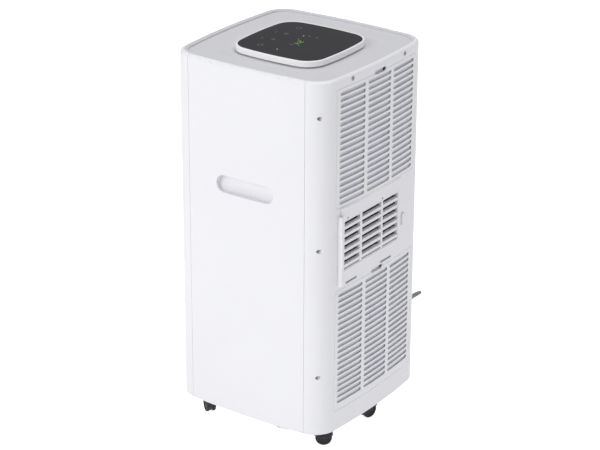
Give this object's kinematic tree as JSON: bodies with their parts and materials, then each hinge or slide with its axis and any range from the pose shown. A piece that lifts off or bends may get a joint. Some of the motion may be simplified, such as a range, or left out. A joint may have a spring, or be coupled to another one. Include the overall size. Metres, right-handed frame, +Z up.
{
  "type": "portable air conditioner",
  "caption": "Tower-shaped portable air conditioner on casters, with a black control panel on top, filter grilles and an exhaust opening at the back, and an air outlet in front.",
  "frame": {"origin": "on the floor under the middle of the body", "axes": "+Z up, +Y out of the back with the filter grilles, -Y out of the front with the air outlet, +X to the left as seen from the back"},
  "size_m": [0.4391, 0.3776, 0.6927],
  "materials": {
    "white_plastic": "satin moulded white",
    "grey_plastic": "satin moulded grey",
    "rim_plastic": "gloss white",
    "dark_plastic": "moulded dark grey",
    "black_glass": "polished black",
    "circuit_board": "green laminate",
    "filter_mesh": "fine woven mesh",
    "foam": "foamed plastic",
    "fins": "plain aluminium fins",
    "steel": "zinc plated",
    "screw_steel": "zinc plated",
    "black_steel": "black enamel",
    "copper": "drawn copper",
    "rubber": "moulded rubber",
    "cord_rubber": "grey flexible sheath",
    "caster_plastic": "moulded black",
    "caster_tyre": "hard rubber"
  },
  "bodies": {
    "casing": {"front_shell": "white_plastic", "rear_shell": "white_plastic", "right_side_panel": "white_plastic", "left_side_panel": "white_plastic", "right_grip": "white_plastic", "left_grip": "white_plastic", "base_pan": "grey_plastic", "top_deck": "grey_plastic", "panel_rim": "rim_plastic", "control_glass": "black_glass", "control_board": "circuit_board", "exhaust_grille": "white_plastic", "adapter_rail": "white_plastic", "outlet_duct": "dark_plastic", "flap_motor": "steel", "upper_scroll": "dark_plastic", "lower_scroll": "dark_plastic", "divider_plate": "foam", "upper_fan_motor": "steel", "lower_fan_motor": "steel", "evaporator": "fins", "condenser": "fins", "compressor": "black_steel", "compressor_feet": "rubber", "refrigerant_pipes": "copper", "electric_box": "dark_plastic", "condensate_tray": "dark_plastic", "casing_screws": "screw_steel", "strain_relief": "cord_rubber", "cord_coil": "cord_rubber", "cord_plug": "cord_rubber", "power_cord": "cord_rubber"},
    "drain_plug": {"drain_plug": "rubber"},
    "upper_filter_door": {"upper_grille": "white_plastic", "upper_filter_frame": "grey_plastic", "upper_filter_mesh": "filter_mesh"},
    "lower_filter_door": {"lower_grille": "white_plastic", "lower_filter_frame": "grey_plastic", "lower_filter_mesh": "filter_mesh"},
    "adapter_latch": {"adapter_latch": "white_plastic"},
    "outlet_flap": {"outlet_flap": "white_plastic"},
    "vane_link": {"vane_link": "dark_plastic"},
    "upper_fan": {"upper_fan_wheel": "dark_plastic"},
    "lower_fan": {"lower_fan_wheel": "dark_plastic"},
    "vane_1": {"vane_1": "dark_plastic"},
    "vane_2": {"vane_2": "dark_plastic"},
    "vane_3": {"vane_3": "dark_plastic"},
    "vane_4": {"vane_4": "dark_plastic"},
    "caster_1": {"caster_1_frame": "caster_plastic"},
    "caster_1_wheel_pair": {"caster_1_wheels": "caster_tyre"},
    "caster_2": {"caster_2_frame": "caster_plastic"},
    "caster_2_wheel_pair": {"caster_2_wheels": "caster_tyre"},
    "caster_3": {"caster_3_frame": "caster_plastic"},
    "caster_3_wheel_pair": {"caster_3_wheels": "caster_tyre"},
    "caster_4": {"caster_4_frame": "caster_plastic"},
    "caster_4_wheel_pair": {"caster_4_wheels": "caster_tyre"},
    "caster_5": {"caster_5_frame": "caster_plastic"},
    "caster_5_wheel_pair": {"caster_5_wheels": "caster_tyre"}
  },
  "joints": [
    {"name": "upper_filter_tilt", "type": "hinge", "parent": "casing", "child": "upper_filter_door", "pos_m": [0, 0.1664, 0.4559], "axis": [-1, 0, 0], "range_deg": [0, 50]},
    {"name": "lower_filter_tilt", "type": "hinge", "parent": "casing", "child": "lower_filter_door", "pos_m": [0, 0.1664, 0.0709], "axis": [-1, 0, 0], "range_deg": [0, 50]},
    {"name": "flap_tilt", "type": "hinge", "parent": "casing", "child": "outlet_flap", "pos_m": [0, -0.156, 0.593], "axis": [-1, 0, 0], "range_deg": [0, 60]},
    {"name": "adapter_latch_press", "type": "slide", "parent": "casing", "child": "adapter_latch", "axis": [-1, 0, 0], "range_m": [0, 0.003], "stiffness_N_per_m": 800},
    {"name": "drain_plug_pull", "type": "slide", "parent": "casing", "child": "drain_plug", "axis": [0, 0, -1], "range_m": [0, 0.018]},
    {"name": "upper_fan_spin", "type": "hinge", "parent": "casing", "child": "upper_fan", "pos_m": [0, -0.048, 0.581], "axis": [0, 1, 0], "continuous": true},
    {"name": "lower_fan_spin", "type": "hinge", "parent": "casing", "child": "lower_fan", "pos_m": [0, -0.02, 0.408], "axis": [0, 0, -1], "continuous": true},
    {"name": "vane_link_slide", "type": "slide", "parent": "casing", "child": "vane_link", "axis": [-1, 0, 0], "range_m": [-0.0044, 0.0044]},
    {"name": "vane_1_turn", "type": "hinge", "parent": "casing", "child": "vane_1", "pos_m": [-0.066, -0.112, 0.593], "axis": [0, 0, 1], "range_deg": [-28, 28]},
    {"name": "vane_2_turn", "type": "hinge", "parent": "casing", "child": "vane_2", "pos_m": [-0.022, -0.112, 0.593], "axis": [0, 0, 1], "range_deg": [-28, 28]},
    {"name": "vane_3_turn", "type": "hinge", "parent": "casing", "child": "vane_3", "pos_m": [0.022, -0.112, 0.593], "axis": [0, 0, 1], "range_deg": [-28, 28]},
    {"name": "vane_4_turn", "type": "hinge", "parent": "casing", "child": "vane_4", "pos_m": [0.066, -0.112, 0.593], "axis": [0, 0, 1], "range_deg": [-28, 28]},
    {"name": "caster_1_swivel", "type": "hinge", "parent": "casing", "child": "caster_1", "pos_m": [0.126, 0.124, 0.033], "axis": [0, 0, 1], "continuous": true},
    {"name": "caster_1_roll", "type": "hinge", "parent": "caster_1", "child": "caster_1_wheel_pair", "pos_m": [0.1174, 0.13629, 0.015], "axis": [-0.8192, -0.5736, 0], "continuous": true},
    {"name": "caster_2_swivel", "type": "hinge", "parent": "casing", "child": "caster_2", "pos_m": [0.126, -0.116, 0.033], "axis": [0, 0, 1], "continuous": true},
    {"name": "caster_2_roll", "type": "hinge", "parent": "caster_2", "child": "caster_2_wheel_pair", "pos_m": [0.13523, -0.10418, 0.015], "axis": [-0.788, 0.6157, 0], "continuous": true},
    {"name": "caster_3_swivel", "type": "hinge", "parent": "casing", "child": "caster_3", "pos_m": [-0.126, -0.124, 0.033], "axis": [0, 0, 1], "continuous": true},
    {"name": "caster_3_roll", "type": "hinge", "parent": "caster_3", "child": "caster_3_wheel_pair", "pos_m": [-0.14009, -0.12913, 0.015], "axis": [0.342, -0.9397, 0], "continuous": true},
    {"name": "caster_4_swivel", "type": "hinge", "parent": "casing", "child": "caster_4", "pos_m": [-0.126, 0.124, 0.033], "axis": [0, 0, 1], "continuous": true},
    {"name": "caster_4_roll", "type": "hinge", "parent": "caster_4", "child": "caster_4_wheel_pair", "pos_m": [-0.126, 0.109, 0.015], "axis": [1, 0, 0], "continuous": true},
    {"name": "caster_5_swivel", "type": "hinge", "parent": "casing", "child": "caster_5", "pos_m": [-0.028, 0.1465, 0.033], "axis": [0, 0, 1], "continuous": true},
    {"name": "caster_5_roll", "type": "hinge", "parent": "caster_5", "child": "caster_5_wheel_pair", "pos_m": [-0.01351, 0.14262, 0.015], "axis": [0.2588, 0.9659, 0], "continuous": true}
  ],
  "couplings": [
    {"joint": "vane_1_turn", "follows": "vane_link_slide", "rad_per_m": 111.11},
    {"joint": "vane_2_turn", "follows": "vane_link_slide", "rad_per_m": 111.11},
    {"joint": "vane_3_turn", "follows": "vane_link_slide", "rad_per_m": 111.11},
    {"joint": "vane_4_turn", "follows": "vane_link_slide", "rad_per_m": 111.11}
  ]
}
